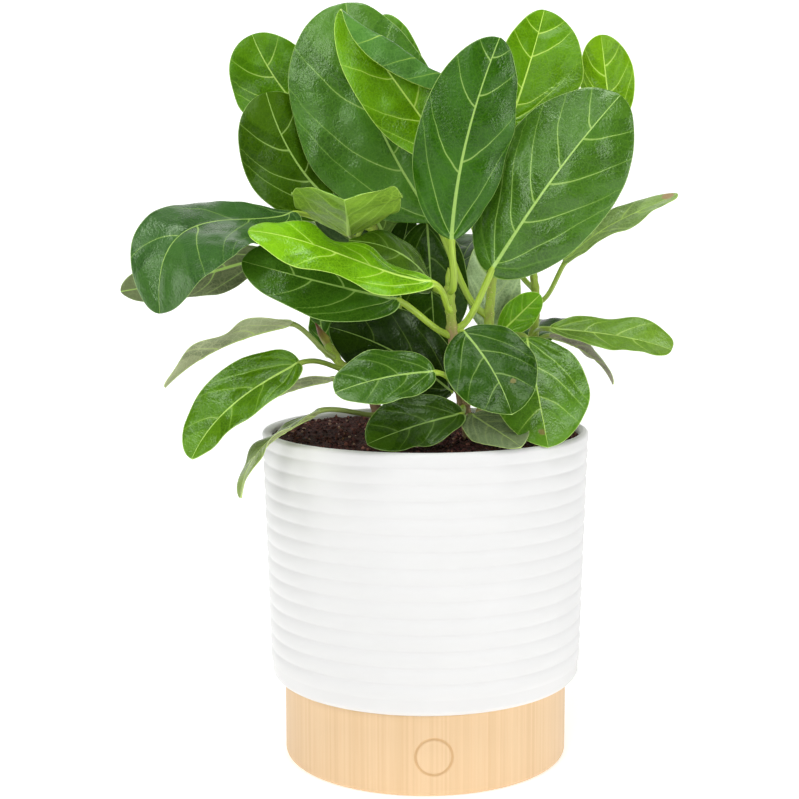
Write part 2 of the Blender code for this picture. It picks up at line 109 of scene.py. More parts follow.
# Each stem: points from the soil upward, its radius at the bottom and at the top, the bark's colour
# at the foot, and how far up green skin begins and is full
BROWN, GREY, GREEN = (172, 146, 106), (140, 114, 86), (158, 188, 66)
STEMS = {
    "middle": ([(.021, -.02, .162), (.017, -.025, .183), (.014, -.028, .204), (.012, -.03, .22),
                (.011, -.032, .235)], .0031, .0021, BROWN, .056, .07),
    "right": ([(.025, -.008, .162), (.029, -.008, .179), (.031, -.004, .196), (.031, .000, .216),
               (.033, .002, .239), (.036, .008, .274), (.039, .012, .294)],
              .003, .0017, BROWN, .012, .03),
    "back": ([(-.001, .022, .162), (-.003, .028, .178), (-.001, .034, .208), (.002, .038, .238),
              (.004, .04, .268)], .0026, .0016, GREY, .035, .065),
    "left": ([(-.02, -.02, .162), (-.025, -.022, .179), (-.033, -.024, .189),
              (-.041, -.022, .197), (-.047, -.018, .206)], .0027, .0018, GREY, .03, .055),
    "inner": ([(-.014, .004, .162), (-.011, .006, .176), (-.01, .01, .195), (-.013, .014, .214),
               (-.016, .018, .237), (-.024, .02, .256), (-.032, .022, .272)],
              .0028, .0016, GREY, .04, .07),
    "outer": ([(.04, .016, .162), (.047, .02, .175), (.053, .024, .198), (.056, .028, .22),
               (.055, .032, .24), (.06, .036, .262), (.07, .038, .285)],
              .0026, .0014, GREY, .035, .065),
}

# Each bud: its solid, its stem, its radii at lengths from the stem's end, and its two colours
BUDS = {
    "side_bud": ("leaf_bud", "left", (0, .003, .007, .0125), (.0017, .0022, .0016, .0003),
                 "bud_brown", (150, 150, 60), (120, 74, 50)),
    "tip_bud": ("top_bud", "middle", (0, .002, .005, .0085), (.0017, .0018, .0012, .0003),
                "bud_green", (150, 180, 60), (176, 200, 70)),
}

LEAF_DEFAULTS = dict(
    sides=(1, 1), belly=.95, roundness=.5, rise=(0, 0), lean=(0, 0), cup=(8, 8), curl=(0, 0),
    lobe=.03, fold=None, stalk=.0012, wave=.0009, nod=.03, tone="mature", slot=None, colour=None,
    under=None, gloss=.36, clear=.8, scar=None, veins=((.26, .54), (.34, .66)), size="middle")


def leaf(stem, height, base, tip, width, face, **details):
    """A leaf that leaves a stem at a height, with its blade from base to tip.

    Its shape: width over length, the way its upper side faces, how wide the left and right are,
    the outline's belly and roundness, how far the midrib rises and leans, the cup and curl of each
    side in degrees, the lobes at the base, a fold, the stalk's radius, how high the edge waves and
    how far the tip nods back. Its looks: tone, the material slot and the colours of the upper side
    and underside where they aren't the tone's, gloss, how clear the side veins are, a scar, where
    the side veins start on the left and right, and mesh size.
    """
    return SimpleNamespace(**(LEAF_DEFAULTS | details), stem=stem, height=height, base=base,
                           tip=tip, width=width, face=face)


LEAVES = dict(
    front_tall=leaf(
        "middle", .233, (.012, -.04, .256), (.033, -.054, .345), .5, (.05, -1, .2), sides=(1, .92),
        belly=.98, lean=(.06, .05), cup=(-4, -4), curl=(0, -26), lobe=0, stalk=.0017,
        colour=(40, 86, 0), veins=((.33, .65, .88), (.38, .71, .9)), size="large"),
    right_big=leaf(
        "middle", .214, (.032, -.034, .243), (.085, -.05, .321), .66, (-.1, -1, .3), sides=(1, .96),
        belly=.98, lean=(.02, .02), cup=(-4, -4), curl=(-10, -18), lobe=.05, stalk=.0016, nod=.13,
        colour=(56, 98, 16), gloss=.55, veins=((.2, .36, .57, .8), (.26, .48, .74)), size="large"),
    top_bright=leaf(
        "right", .288, (.041, .006, .311), (.058, .018, .366), .86, (0, -1, .25), sides=(.58, 1.05),
        lean=(-.02, -.02), lobe=.04, tone="bright", colour=(80, 128, 0), gloss=.24,
        veins=((.3, .57, .8), (.15, .58, .78)), size="large"),
    top_right=leaf(
        "outer", .282, (.094, .034, .311), (.088, .04, .356), .66, (-.1, -1, .1), sides=(1.1, .95),
        lean=(.02, 0), cup=(20, 8), curl=(30, 0), tone="bright", colour=(94, 140, 6), gloss=.24),
    top_left_big=leaf(
        "right", .219, (.005, .012, .263), (-.038, .002, .367), .62, (-.1, -1, .25),
        sides=(1.1, .93), belly=1.12, roundness=.44, lean=(.08, .1), cup=(10, 4), curl=(-18, -18),
        lobe=-.04, stalk=.0016, nod=.07, colour=(64, 110, 26), gloss=.55, size="large"),
    young_folded=leaf(
        "right", .243, (.012, -.012, .293), (-.039, -.012, .363), .55, (-.1, -1, .3),
        sides=(.84, 1.3), cup=(5, 5), lobe=0, fold=(.84, 22, 165, .0035), nod=0, tone="bright",
        colour=(90, 142, 2), under=(70, 118, 44), size="large"),
    upper_left=leaf(
        "inner", .268, (-.058, .042, .313), (-.087, .04, .356), .84, (-.1, -1, .2),
        sides=(1.05, .9), roundness=.44, lean=(.06, .08), tone="mid", colour=(70, 118, 6),
        gloss=.24),
    left_dark=leaf(
        "inner", .26, (-.044, .01, .271), (-.077, .006, .325), .84, (-.1, -1, .2), sides=(.9, .92),
        roundness=.44, lean=(.12, .1), cup=(8, -20), colour=(48, 82, 0), gloss=.22, size="large"),
    far_left=leaf(
        "inner", .25, (-.064, -.01, .267), (-.121, -.06, .223), .54, (-.35, -.7, .58),
        sides=(1.45, .78), belly=1.25, rise=(.08, .5), lean=(-.02, -.24), wave=.0016,
        colour=(46, 86, 30), gloss=.6, size="large"),
    left_under=leaf(
        "inner", .236, (-.082, .03, .246), (-.154, .03, .229), .4, (-.1, .9, .5), lean=(-.04, -.04),
        wave=.0022, under=(90, 104, 68)),
    left_low=leaf(
        "middle", .212, (-.014, -.04, .228), (-.083, -.05, .247), .56, (-.05, -.85, .5),
        sides=(.95, 1.0), lean=(.02, .02), lobe=.04, stalk=.0015, colour=(52, 92, 16),
        size="large"),
    young_left=leaf(
        "middle", .224, (.002, -.06, .237), (-.077, -.078, .258), .34, (.1, -.42, .88), belly=1.2,
        roundness=.42, rise=(-.04, .1), cup=(-10, 6), curl=(-30, 0), stalk=.0014, wave=.0028,
        nod=-.03, tone="bright", colour=(104, 160, 12), size="large"),
    centre_keeled=leaf(
        "inner", .248, (-.036, -.02, .258), (-.035, -.08, .2755), .86, (0, .22, 1), roundness=.27,
        cup=(20, 20), wave=.0024, tone="mid", colour=(70, 120, 24), under=(118, 156, 50)),
    centre_arched=leaf(
        "middle", .229, (.003, -.02, .233), (-.035, -.042, .256), .5, (0, -.75, .65),
        rise=(.2, .26), cup=(0, 0), curl=(-30, -30), colour=(60, 92, 12), clear=.35, size="large"),
    left_inner=leaf(
        "inner", .262, (-.037, .019, .252), (-.052, .022, .309), .6, (.3, -1, .2), roundness=.36,
        colour=(56, 80, 46), clear=.4),
    left_thin=leaf(
        "left", .2, (-.064, -.03, .216), (-.121, -.05, .19), .4, (-.1, .3, 1), rise=(.08, .1),
        cup=(18, 18), wave=.002, tone="pale", slot="mid", colour=(132, 148, 100),
        under=(146, 158, 118)),
    left_drooping=leaf(
        "left", .194, (-.058, -.06, .2), (-.103, -.085, .162), .48, (-.3, -.8, .5), sides=(.8, 1.1),
        belly=.74, lean=(-.1, -.16), tone="mid", colour=(70, 114, 4), clear=.36, size="large"),
    left_narrow=leaf(
        "left", .187, (-.044, -.038, .191), (-.094, -.047, .171), .38, (-.1, .26, 1),
        rise=(.08, .08), tone="pale", slot="mid", colour=(132, 148, 100), under=(146, 158, 118)),
    over_rim=leaf(
        "left", .173, (-.05, -.05, .177), (-.083, -.085, .144), .26, (-.5, -.1, .8), rise=(.1, .22),
        tone="pale", slot="mid", colour=(104, 126, 62), under=(140, 152, 100)),
    centre_low=leaf(
        "middle", .185, (.003, -.065, .197), (-.039, -.085, .191), .6, (0, -.8, .6), roundness=.42,
        lean=(-.06, -.05), colour=(46, 84, 12), clear=.32, size="large"),
    front_low=leaf(
        "middle", .177, (.015, -.046, .175), (-.026, -.064, .165), .68, (-.2, -.75, .6),
        sides=(.85, 1.1), lean=(-.03, -.03), lobe=.08, colour=(44, 76, 8), clear=.26, size="large"),
    front_pale=leaf(
        "middle", .17, (.022, -.042, .174), (.043, -.066, .164), .86, (.2, -.7, .7), tone="pale",
        colour=(122, 142, 98), gloss=.15, clear=.3),
    right_low=leaf(
        "middle", .206, (.018, -.045, .213), (.038, -.08, .181), .86, (-.1, -.75, .65),
        sides=(.9, .95), lean=(.06, .06), colour=(34, 70, 4), gloss=.2, clear=.5,
        scar=(-.006, .036, .0016, (112, 104, 44)), size="large"),
    right_rim=leaf(
        "right", .204, (.048, -.025, .208), (.056, -.06, .163), .84, (.1, -.8, .6), tone="mid",
        colour=(72, 116, 22), clear=.6, scar=(.002, .05, .002, (128, 118, 66)), size="large"),
    right_long=leaf(
        "outer", .207, (.062, .000, .211), (.119, -.01, .203), .42, (0, -.5, .85), belly=1.5,
        roundness=.32, lean=(.04, .08), cup=(20, 5), wave=.0016, tone="mid", colour=(98, 138, 38)),
    # Its grey-green is partly its own and partly lightened to paint light on an underside that lies
    # in shade
    right_under=leaf(
        "outer", .204, (.063, .02, .206), (.094, .005, .184), .5, (.3, .3, .9), rise=(.14, .16),
        tone="pale", colour=(138, 148, 116), under=(156, 158, 136)),
    right_behind=leaf(
        "outer", .223, (.071, .03, .243), (.126, .03, .278), .31, (-.5, -.48, .7), rise=(.12, .02),
        tone="mid", colour=(124, 156, 82), scar=(-.0015, .061, .0036, (172, 140, 104))),
    # Its pale colour is partly its own and partly a painted sheen
    centre_pale=leaf(
        "right", .208, (.034, .02, .21), (.034, .026, .255), .62, (0, -1, .1), roundness=.36,
        tone="pale", colour=(146, 172, 122), clear=.4),
    small_bright=leaf(
        "outer", .198, (.038, .018, .208), (.057, .016, .227), .62, (0, -1, .3), tone="bright",
        colour=(92, 150, 14), clear=.35),
    # Its near-black colour paints the shade deep among the leaves
    centre_dark=leaf(
        "inner", .187, (.012, -.002, .181), (-.046, -.008, .213), .62, (-.1, -.9, .4),
        lean=(-.08, -.08), colour=(22, 46, 0), clear=.3),
    left_small=leaf(
        "left", .203, (-.049, .004, .2), (-.053, .006, .222), .56, (0, -1, .1)),
    # Its very dark colour paints the shade behind the middle of the plant
    behind_middle=leaf(
        "back", .252, (.001, .026, .261), (.005, .01, .2), .6, (-.1, -.9, .3), slot="mid",
        colour=(34, 64, 4), gloss=.15, clear=.3),
    top_behind=leaf(
        "back", .264, (-.007, .05, .319), (-.021, .05, .367), .5, (0, -1, .2), tone="mid"),
    back_left=leaf(
        "back", .236, (-.022, .052, .256), (-.056, .08, .328), .62, (-.25, .95, .25), stalk=.0014),
    back_middle=leaf(
        "back", .245, (.01, .06, .258), (.022, .084, .34), .6, (.1, 1, .3), stalk=.0014),
    back_right=leaf(
        "outer", .23, (.046, .056, .246), (.066, .082, .322), .6, (.2, 1, .3), stalk=.0014),
    back_low_left=leaf(
        "back", .2, (-.008, .055, .198), (-.052, .095, .219), .6, (-.3, .3, .9), rise=(.1, .1)),
    back_low_right=leaf(
        "outer", .192, (.056, .048, .198), (.066, .104, .208), .58, (.1, .3, .9), rise=(.12, .12),
        gloss=.05),
    back_out=leaf(
        "back", .223, (.014, .06, .224), (.034, .124, .256), .62, (.1, .5, .8), rise=(.12, .14),
        gloss=.05),
    back_low=leaf(
        "back", .181, (-.001, .05, .176), (.008, .118, .17), .6, (0, .4, .9), rise=(.1, .1),
        tone="mid"),
    back_far_left=leaf(
        "inner", .24, (-.04, .046, .25), (-.088, .084, .264), .56, (-.3, .4, .85), rise=(.12, .14)),
    back_far_right=leaf(
        "outer", .25, (.08, .048, .262), (.1, .08, .306), .64, (.7, .5, .3), tone="mid"),
    back_left_low=leaf(
        "inner", .205, (-.036, .04, .222), (-.074, .086, .236), .58, (-.3, .5, .8), rise=(.1, .12)),
    back_mid_low=leaf(
        "back", .192, (.014, .052, .2), (.036, .104, .188), .6, (.2, .6, .7), rise=(.08, .1),
        tone="mid"),
    # Its very dark colour paints the shade inside the plant
    inner_dark=leaf(
        "inner", .216, (-.018, .029, .222), (-.008, .033, .266), .42, (0, -1, .2),
        colour=(30, 58, 4), clear=.3),
)

# Rows along and columns across a blade, by mesh size
MESH_SIZES = {"large": (121, 41), "middle": (81, 31)}

# The upper side, underside, vein and stalk of each tone of leaf, as 8-bit screen colours
TONES = {
    "mature": ((50, 92, 12), (72, 100, 36), (158, 194, 98), (162, 192, 64)),
    "mid": ((76, 126, 22), (100, 130, 48), (172, 206, 98), (150, 178, 68)),
    "bright": ((96, 152, 4), (126, 168, 56), (188, 222, 98), (176, 208, 70)),
    "pale": ((108, 146, 64), (140, 166, 100), (186, 210, 124), (156, 176, 90)),
}

# Each lamp: where it is, what it lights, its width and height, and its power in watts
LAMPS = {
    "key": ((-.82, -.76, 1.00), (0, 0, .2), (.4, .36), 2.6),
    "left": ((-1.25, .05, .26), (0, 0, .12), (.7, .7), 2.6),
    "right": ((1.25, .05, .26), (0, 0, .12), (.7, .7), 1.8),
    "fill": ((1.05, -.8, .26), (0, 0, .22), (.44, .5), 4.7),
    "top": ((-.05, -.35, 1.32), (0, 0, .25), (.7, .5), 8.5),
    "strip": ((-.26, -1.25, .95), (0, 0, .3), (.4, .46), 3.5),
    "front": ((-.44, -1.23, .49), (0, 0, .3), (.28, .3), 2.1),
}
WORLD_LIGHT = .13
BACKDROP_FOOT = (1.12, -.01)
BACKDROP_TOP = (2.6, 3.2)

CAMERA_PLACE = (0, -.7706, .2752)
CAMERA_TILT = 7.306
LENS_MM = 71.29
LENS_SHIFT = -.0324


# Materials

def screen(red, green, blue):
    """An 8-bit screen colour as a linear one."""
    shares = [channel/255 for channel in (red, green, blue)]
    return [v/12.92 if v <= .04045 else ((v + .055)/1.055)**2.4 for v in shares] + [1]


def toned(colour, scale, lift=0.0):
    """A linear colour made darker or lighter."""
    return [min(1, c*scale + lift) for c in colour[:3]] + [1]


class Nodes:
    """A material's node tree, written as expressions."""

    def __init__(self, name, roughness, specular):
        self.material = bpy.data.materials.new(name)
        self.material.use_nodes = True
        self.tree = self.material.node_tree
        self.shader = self.tree.nodes["Principled BSDF"]
        self.preset("Roughness", roughness)
        self.preset("Specular IOR Level", specular)

    def preset(self, socket, value):
        """A value that is the same all over the surface."""
        self.shader.inputs[socket].default_value = value

    def node(self, kind, inputs=(), output=0, **settings):
        """One output of a new node, from its settings and its inputs by name or place."""
        made = self.tree.nodes.new(kind)
        for key, value in settings.items():
            setattr(made, key, value)
        for key, value in dict(inputs).items():
            if isinstance(value, bpy.types.NodeSocket):
                self.tree.links.new(value, made.inputs[key])
            else:
                made.inputs[key].default_value = value
        return made.outputs[output]

    def attribute(self, name):
        return self.node("ShaderNodeAttribute", output="Vector", attribute_name=name)

    def parts(self, vector):
        """The three numbers of a vector."""
        return self.node("ShaderNodeSeparateXYZ", {0: vector}, slice(3))

    def math(self, operation, *values):
        return self.node("ShaderNodeMath", enumerate(values), operation=operation)

    def ramp(self, value, low, high, start=0.0, end=1.0):
        """value from low..high eased into start..end."""
        return self.node("ShaderNodeMapRange", {
            "Value": value, "From Min": low, "From Max": high, "To Min": start, "To Max": end},
            interpolation_type="SMOOTHSTEP")

    def mix(self, share, first, second):
        """A colour from the first to the second."""
        return self.node("ShaderNodeMix", {0: share, 6: first, 7: second}, 2, data_type="RGBA")

    def layers(self, shade, *coats):
        """A colour under coats: each coat's own colour, and the ramp of where it covers."""
        for colour, *cover in coats:
            shade = self.mix(self.ramp(*cover), shade, colour)
        return shade

    def scaled(self, vector, amounts):
        return self.node("ShaderNodeVectorMath", {0: vector, 1: amounts}, operation="MULTIPLY")

    def noise(self, vector, scale, detail=3, roughness=.5):
        return self.node("ShaderNodeTexNoise", {
            "Vector": vector, "Scale": scale, "Detail": detail, "Roughness": roughness})

    def cells(self, vector, scale, feature="DISTANCE_TO_EDGE"):
        return self.node("ShaderNodeTexVoronoi", {"Vector": vector, "Scale": scale}, "Distance",
                         feature=feature)

    def finish(self, colour, relief, depth, strength, roughness=None):
        """The material with its colour, a relief of a depth in metres, and any change in gloss."""
        bump = self.node("ShaderNodeBump",
                         {"Height": relief, "Distance": depth, "Strength": strength})
        for name, value in (("Base Color", colour), ("Roughness", roughness), ("Normal", bump)):
            if value is not None:
                self.tree.links.new(value, self.shader.inputs[name])
        return self.material


def blade_material(name, colour, vein, upper, clear, gloss, scar):
    """One side of a leaf: midrib, side veins, a fine network between them, and a pale thin edge.

    A scar is its place out from the midrib and along it, its radius and its colour.
    """
    roughness = .26 if upper else .5
    n = Nodes(name, roughness, gloss if upper else .08)
    n.preset("Specular Tint", (.82, 1, .74, 1))
    spot = n.attribute("spot")
    across, edge, _ = n.parts(n.attribute("share"))
    left, right = n.parts(n.attribute("left")), n.parts(n.attribute("right"))
    on_right = n.math("GREATER_THAN", across, 0.0)
    phase, spread = [n.node("ShaderNodeMix", {0: on_right, 2: left[i], 3: right[i]},
                            data_type="FLOAT") for i in (0, 1)]
    near = n.math("PINGPONG", phase, .5)
    from_vein = n.math("MULTIPLY", near, spread)
    from_middle = n.math("MULTIPLY", n.math("SUBTRACT", .5, near), spread)
    from_midrib = n.math("ABSOLUTE", left[2])
    outward = n.math("ABSOLUTE", across)

    patches = n.noise(spot, 45, 2)
    lighter = [min(1, c*scale + lift) for c, scale, lift in
               zip(colour, (2.0, 1.75, 2.0), (.02, .03, .004))] + [1]
    wide_net, fine_net = n.cells(spot, 190), n.cells(spot, 620)
    shade = n.layers(
        toned(colour, .76),
        (toned(colour, 1.2), patches, .3, .7),
        (lighter, from_vein, .5, 8.0, .3, 0),
        (lighter, wide_net, .01, .07, .2 if upper else .3, 0),
        (lighter, fine_net, .02, .16, .22, 0),
        (lighter, from_middle, .2, .6, .3, 0))
    fading = n.math("MULTIPLY", n.ramp(outward, .4, 1.0, clear, clear*.35),
                    n.ramp(phase, .3, .7, .25, 1))
    shade = n.mix(n.math("MULTIPLY", n.ramp(from_vein, .7, 1.45, 1, 0), fading), shade, vein)
    shade = n.layers(shade, (toned(vein, 1.1), from_midrib, .7, 1.2, 1, 0))
    if scar:
        x, y, radius, brown = scar
        away = n.node("ShaderNodeVectorMath", {0: n.scaled(spot, (1, 1, 0)), 1: (x, y, 0)},
                      "Value", operation="DISTANCE")
        jagged = n.math("SUBTRACT", n.noise(spot, 420), .5)
        ragged = n.math("MULTIPLY_ADD", jagged, radius*1.1, away)
        shade = n.layers(shade, (screen(*brown), ragged, radius*.6, radius, .9, 0))
    rim = (toned(vein, 1.15, .02), edge, .00012, .00045, .85 if upper else .7, 0)
    shade = n.layers(shade, rim)

    rough = n.math("ADD", n.ramp(patches, .3, .7, -.05, .06), roughness)
    relief = n.noise(spot, 900, 2)
    for net, most, height in ((wide_net, .3, 1.6), (fine_net, .25, 1.2)):
        relief = n.math("MULTIPLY_ADD", n.math("MINIMUM", net, most), height, relief)
    return n.finish(shade, relief, .0002, .7, rough)


def stalk_material(name, colour):
    n = Nodes(name, .42, .45)
    streaks = n.noise(n.scaled(n.attribute("spot"), (1500, 90, 1)), 1.0)
    shade = n.layers(toned(colour, .78), (toned(colour, 1.18), streaks, .3, .75))
    return n.finish(shade, streaks, .0001, .4)


def bark_material(name, low, start, end):
    """Bark from brown wood at the foot to green skin at the top, with rings and pale specks."""
    n = Nodes(name, .62, .3)
    spot = n.attribute("spot")
    grain = n.noise(n.scaled(spot, (700, 120, 1)), 1.0, 4, .65)
    rings = n.noise(n.scaled(spot, (60, 1100, 1)), 1.0, 2)
    upward = n.math("MULTIPLY_ADD", n.math("SUBTRACT", grain, .5), .02, n.parts(spot)[1])
    shade = n.layers(
        low,
        (screen(*GREEN), upward, start, end),
        (toned(low, .55), grain, .35, .75, 0, .55),
        (toned(low, 1.9, .06), n.cells(spot, 700, "F1"), .1, .22, .65, 0))
    return n.finish(shade, n.math("MULTIPLY_ADD", rings, .8, grain), .0004, .7)


def glaze_material():
    n = Nodes("white_glaze", .5, .4)
    n.preset("Sheen Weight", .6)
    n.preset("Sheen Roughness", .55)
    spot = n.node("ShaderNodeTexCoord", output="Object")
    clouds = n.noise(spot, 30, 2)
    shade = n.mix(clouds, [.685, .685, .68, 1], [.72, .72, .715, 1])
    rough = n.math("MULTIPLY_ADD", clouds, .12, .46)
    return n.finish(shade, n.noise(spot, 160, 2), .0002, .25, rough)


def wood_material():
    """Pale laminated bamboo: upright strips, each with fine fibres."""
    n = Nodes("light_wood", .48, .35)
    spot = n.attribute("spot")
    strips = n.node("ShaderNodeTexVoronoi", {"W": n.math("MULTIPLY", n.parts(spot)[0], 190.0)},
                    "Color", voronoi_dimensions="1D", feature="F1")
    tone = n.parts(strips)[0]
    fibres = n.noise(n.scaled(spot, (1500, 26, 1)), 1.0, 4, .6)
    bands = n.noise(n.scaled(spot, (160, 6, 1)), 1.0, 2)
    cut = n.parts(n.attribute("cut"))[0]
    shade = n.layers(
        screen(219, 186, 143),
        (screen(226, 194, 153), tone, 0, 1),
        (screen(229, 199, 159), bands, .3, .7, 0, .5),
        (screen(216, 170, 120), fibres, .45, .85, 0, .3),
        # painted shade: the ring's groove darkens with its depth
        (screen(190, 144, 84), cut, .1, .9, 0, .45))
    return n.finish(shade, fibres, .0002, .35)


def soil_material():
    n = Nodes("dark_soil", .88, .25)
    mood = n.parts(n.attribute("grain"))[0]
    crumbs = n.noise(n.node("ShaderNodeTexCoord", output="Object"), 700, 5, .7)
    shade = n.layers(
        screen(24, 9, 9),
        (screen(104, 60, 56), crumbs, .38, .66),
        (screen(150, 98, 84), mood, .55, 1.0, 0, .85),
        (screen(196, 170, 150), mood, .9, 1.0, 0, .9))
    return n.finish(shade, crumbs, .0008, .8)


def bud_material(name, low, high):
    n = Nodes(name, .45, .4)
    spot = n.attribute("spot")
    streaks = n.noise(n.scaled(spot, (1800, 200, 1)), 1.0)
    shade = n.layers(
        low, (high, n.parts(spot)[1], .001, .01), (toned(high, .6), streaks, .4, .8, 0, .5))
    return n.finish(shade, streaks, .0002, .5)


def studio_material(name, specular, base, glow):
    """Matt white with a little light of its own."""
    n = Nodes(name, .9, specular)
    n.preset("Base Color", (base, base, base, 1))
    n.preset("Emission Color", (1, 1, 1, 1))
    n.preset("Emission Strength", glow)
    return n.material


# Meshes

def unit(vector):
    return vector/np.linalg.norm(vector)


def around(count):
    """Angles once round a circle."""
    return np.linspace(0, 2*pi, count, endpoint=False)


def put(name, data, location=(0, 0, 0), rotation=(0, 0, 0)):
    """A new object in the scene."""
    made = bpy.data.objects.new(name, data)
    made.location, made.rotation_euler = location, rotation
    bpy.context.scene.collection.objects.link(made)
    return made


def show(name, vertices, faces, materials, attributes=None, face_materials=None):
    """A smooth mesh object from arrays, with vector attributes on its points."""
    mesh = bpy.data.meshes.new(name)
    mesh.from_pydata(np.asarray(vertices).tolist(), [], faces)
    for material in materials:
        mesh.materials.append(material)
    for key, values in (attributes or {}).items():
        layer = mesh.attributes.new(key, "FLOAT_VECTOR", "POINT")
        layer.data.foreach_set("vector", np.asarray(values, np.float32).ravel())
    if face_materials is not None:
        mesh.polygons.foreach_set("material_index", np.asarray(face_materials, np.int32))
    mesh.shade_smooth()
    mesh.update()
    return put(name, mesh)


def dress(piece, slot, *nodes):
    """Puts a piece on the part's one body, in place of the solids that it stands for."""
    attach(piece, "root")
    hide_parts(*nodes)


def ring_faces(rings, count):
    """Quads between rings of points that run one after another."""
    first = np.arange(rings - 1)[:, None]*count
    here = np.arange(count)[None, :]
    following = (here + 1) % count
    return np.stack([first + here, first + following, first + count + following,
                     first + count + here], -1).reshape(-1, 4).tolist()


def closed_faces(rings, count):
    """Rings closed by triangles to one more point for the first end and one for the last."""
    faces = ring_faces(rings, count)
    foot, last = rings*count, (rings - 1)*count
    for i in range(count):
        j = (i + 1) % count
        faces += [[foot, j, i], [foot + 1, last + i, last + j]]
    return faces


def arc(centre, radius, start, end, steps):
    """Points of a round corner, by angle in degrees from +r towards +z."""
    angles = [radians(start + (end - start)*i/steps) for i in range(steps + 1)]
    return [(centre[0] + radius*cos(a), centre[1] + radius*sin(a)) for a in angles]


def turned(profile, angles):
    """Vertices and faces of a profile turned about Z, which starts and ends on the axis."""
    profile = np.array(profile)
    radii, heights = profile[1:-1].T[..., None]
    rings = np.stack(np.broadcast_arrays(radii*np.cos(angles), radii*np.sin(angles), heights), -1)
    ends = [[0, 0, profile[0, 1]], [0, 0, profile[-1, 1]]]
    return np.vstack([rings.reshape(-1, 3), ends]), closed_faces(len(radii), len(angles))


def ripple(x, y, seed, octaves):
    """Smooth repeatable bumps over a plane, as a sum of waves of some lengths and heights."""
    random = np.random.default_rng(seed)
    total = np.zeros_like(x)
    for wavelength, height in octaves:
        for _ in range(9):
            turn, shift = random.uniform(0, 2*pi, 2)
            total += height*np.sin(2*pi*(x*cos(turn) + y*sin(turn))/wavelength + shift)/3
    return total


# Pot, base and soil

def white_pot():
    """The pot, whose flat foot fills the recess in the base."""
    inner = POT_RIM_RADIUS - POT_WALL
    floor = SOIL_EDGE - INNER_WALL
    lip = POT_TOP - LIP_RADIUS
    profile = [(0, floor), (inner - .001, floor), (inner, floor + .002), (inner, SOIL_EDGE)]
    profile += arc((inner + LIP_RADIUS, lip), LIP_RADIUS, 180, 90, 8)
    profile += arc((POT_RIM_RADIUS - LIP_RADIUS, lip), LIP_RADIUS, 90, 0, 8)
    top = RIB_FIRST + RIB_PITCH/2
    for step in range((RIB_COUNT - 1)*RIB_STEPS + RIB_STEPS//2 + 1):
        height = top - step*RIB_PITCH/RIB_STEPS
        share = (step/RIB_STEPS) % 1
        groove = (1 - abs(2*share - 1))**GROOVE_POWER
        radius = np.interp(height, (BASE_TOP, POT_TOP), (POT_FOOT_RADIUS, POT_RIM_RADIUS))
        profile.append((radius - RIB_DEPTH*groove, height))
    corner = (POT_FOOT_RADIUS - CORNER_RADIUS, BASE_TOP + GAP + CORNER_RADIUS)
    profile += arc(corner, CORNER_RADIUS, -25, -90, 10)
    seat, underside = SEAT_RADIUS - GAP, BASE_TOP - SEAT_DEPTH + GAP
    profile += [(seat, BASE_TOP + GAP), (seat, underside), (0, underside)]
    vertices, faces = turned(profile, around(POT_SEGMENTS))
    return show("pot", vertices, faces, [glaze_material()])


def wood_base():
    """The base, with a plain round groove cut in its front."""
    above, below = RING_HEIGHT + RING_REACH, RING_HEIGHT - RING_REACH
    side = np.concatenate([np.linspace(BASE_TOP - .0012, above + .0004, 8),
                           np.linspace(above, below, RING_ROWS),
                           np.linspace(below - .0006, BASE_EDGE + .0005, 7)])
    profile = [(0, BASE_TOP - SEAT_DEPTH), (SEAT_RADIUS, BASE_TOP - SEAT_DEPTH),
               (SEAT_RADIUS, BASE_TOP - .0005), (SEAT_RADIUS + .0006, BASE_TOP)]
    profile += arc((BASE_RADIUS - .001, BASE_TOP - .001), .001, 90, 0, 5)
    profile += [(BASE_RADIUS, height) for height in side]
    profile += arc((BASE_RADIUS - BASE_EDGE, BASE_EDGE), BASE_EDGE, 0, -90, 8)
    profile.append((0, 0))
    front = -pi/2 + RING_X/BASE_RADIUS
    start, end = front - RING_REACH/BASE_RADIUS, front + RING_REACH/BASE_RADIUS
    angles = np.concatenate([np.linspace(start, end, RING_COLUMNS),
                             np.linspace(end, start + 2*pi, BASE_COLUMNS)[1:-1]])
    vertices, faces = turned(profile, angles)
    turn = (np.arctan2(vertices[:, 1], vertices[:, 0]) - front + pi) % (2*pi) - pi
    away = np.hypot(turn*BASE_RADIUS, vertices[:, 2] - RING_HEIGHT)
    depth = RING_DEPTH*np.exp(-((away - RING_RADIUS)/(RING_LINE*.55))**4)
    depth[np.hypot(vertices[:, 0], vertices[:, 1]) < BASE_RADIUS - .0001] = 0
    vertices[:, :2] *= (1 - depth/BASE_RADIUS)[:, None]
    radius = np.hypot(vertices[:, 0], vertices[:, 1])
    spot = np.stack([turn*BASE_RADIUS + radius*.2, vertices[:, 2], radius], -1)
    # The groove's depth share, by which the wood darkens as painted shade in the groove
    cut = np.repeat(depth[:, None]/RING_DEPTH, 3, 1)
    return show("base", vertices, faces, [wood_material()], {"spot": spot, "cut": cut})


